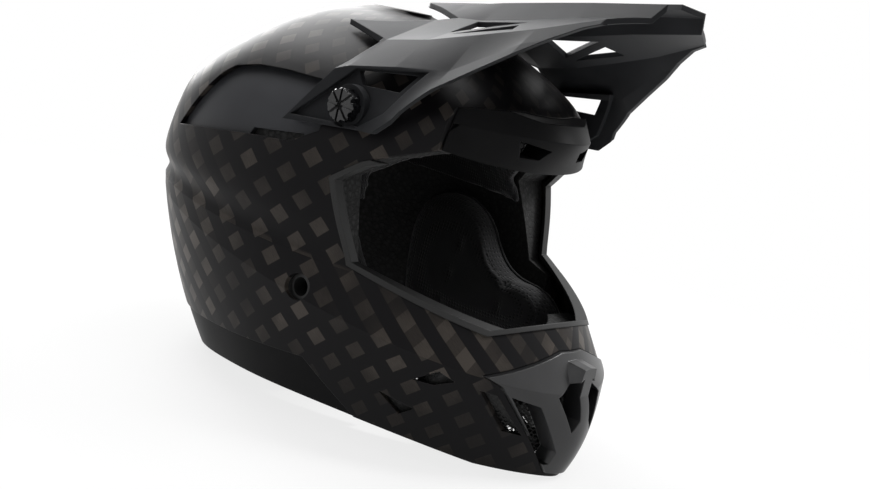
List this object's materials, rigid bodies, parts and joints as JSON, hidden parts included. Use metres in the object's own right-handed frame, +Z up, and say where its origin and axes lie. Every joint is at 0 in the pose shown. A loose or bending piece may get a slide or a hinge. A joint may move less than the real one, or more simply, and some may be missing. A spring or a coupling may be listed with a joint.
{
  "type": "full-face bicycle helmet",
  "caption": "Full-face downhill bicycle helmet with a vented chin bar and mouth guard, a tilting visor on side knobs, foam liners, cheek pads and a ring-closed chin strap.",
  "frame": {"origin": "on the table under the middle of the helmet shell, without the visor's overhang upwards", "axes": "+Z up, -Y towards the face opening, the wearer's right at -X"},
  "size_m": [0.248, 0.3299, 0.2827],
  "materials": {
    "carbon_shell": "matte woven carbon",
    "dark_visor": "matte",
    "dark_trim": "satin",
    "gloss_black": "gloss",
    "black_foam": "beaded foam",
    "black_mesh": "mesh",
    "black_rubber": "satin",
    "black_fabric": "knit",
    "charcoal_fabric": "brushed knit",
    "black_webbing": "woven webbing",
    "red_tape": "woven tape",
    "bright_steel": "brushed"
  },
  "bodies": {
    "shell": {"outer_shell": "carbon_shell", "impact_liner": "black_foam", "chin_bar_liner": "black_foam", "base_trim": "dark_trim", "neck_roll": "black_fabric", "face_port_trim": "black_rubber", "brow_insert": "dark_trim", "brow_mesh": "black_mesh", "mouth_guard": "dark_trim", "mouth_filter": "black_mesh", "crown_pad": "black_fabric", "side_panel_left": "dark_trim", "side_panel_right": "dark_trim", "chin_mesh_left": "black_mesh", "chin_mesh_right": "black_mesh", "ear_grommet_left": "black_rubber", "ear_grommet_right": "black_rubber", "visor_washer_left": "black_rubber", "visor_washer_right": "black_rubber", "visor_nut_left": "bright_steel", "visor_nut_right": "bright_steel", "strap_anchor_left": "bright_steel", "strap_anchor_right": "bright_steel", "cheek_snap_upper_left": "gloss_black", "cheek_snap_upper_right": "gloss_black", "cheek_snap_lower_left": "gloss_black", "cheek_snap_lower_right": "gloss_black"},
    "visor": {"visor": "dark_visor"},
    "visor_screw_left": {"visor_screw_left": "gloss_black"},
    "cheek_pad_left": {"cheek_pad_left": "charcoal_fabric", "pull_tab_left": "red_tape"},
    "visor_screw_right": {"visor_screw_right": "gloss_black"},
    "cheek_pad_right": {"cheek_pad_right": "charcoal_fabric", "pull_tab_right": "red_tape"},
    "chin_strap_left": {"chin_strap_left": "black_webbing"},
    "chin_strap_right": {"chin_strap_right": "black_webbing", "keeper_snap": "gloss_black"},
    "d_ring_outer": {"d_ring_outer": "bright_steel"},
    "d_ring_inner": {"d_ring_inner": "bright_steel"}
  },
  "joints": [
    {"name": "visor_tilt", "type": "hinge", "parent": "shell", "child": "visor", "pos_m": [0, -0.031, 0.1865], "axis": [-1, 0, 0], "range_deg": [-10, 2]},
    {"name": "visor_screw_turn_left", "type": "hinge", "parent": "visor", "child": "visor_screw_left", "pos_m": [0.1165, -0.031, 0.1865], "axis": [1, 0, 0], "continuous": true},
    {"name": "cheek_pad_pull_left", "type": "slide", "parent": "shell", "child": "cheek_pad_left", "axis": [-1, 0, 0], "range_m": [0, 0.012]},
    {"name": "visor_screw_turn_right", "type": "hinge", "parent": "visor", "child": "visor_screw_right", "pos_m": [-0.1165, -0.031, 0.1865], "axis": [-1, 0, 0], "continuous": true},
    {"name": "cheek_pad_pull_right", "type": "slide", "parent": "shell", "child": "cheek_pad_right", "axis": [1, 0, 0], "range_m": [0, 0.012]},
    {"name": "chin_strap_swing_left", "type": "hinge", "parent": "shell", "child": "chin_strap_left", "pos_m": [0.0853, 0.004, 0.06], "axis": [1, 0, 0], "range_deg": [-8, 8]},
    {"name": "chin_strap_swing_right", "type": "hinge", "parent": "shell", "child": "chin_strap_right", "pos_m": [-0.0853, 0.004, 0.06], "axis": [-1, 0, 0], "range_deg": [-8, 8]},
    {"name": "d_ring_swing_outer", "type": "hinge", "parent": "chin_strap_left", "child": "d_ring_outer", "pos_m": [0.032, 0.004, 0.02], "axis": [0, 1, 0], "range_deg": [-10, 0]},
    {"name": "d_ring_swing_inner", "type": "hinge", "parent": "chin_strap_left", "child": "d_ring_inner", "pos_m": [0.024, 0.004, 0.02], "axis": [0, 1, 0], "range_deg": [0, 10]}
  ]
}
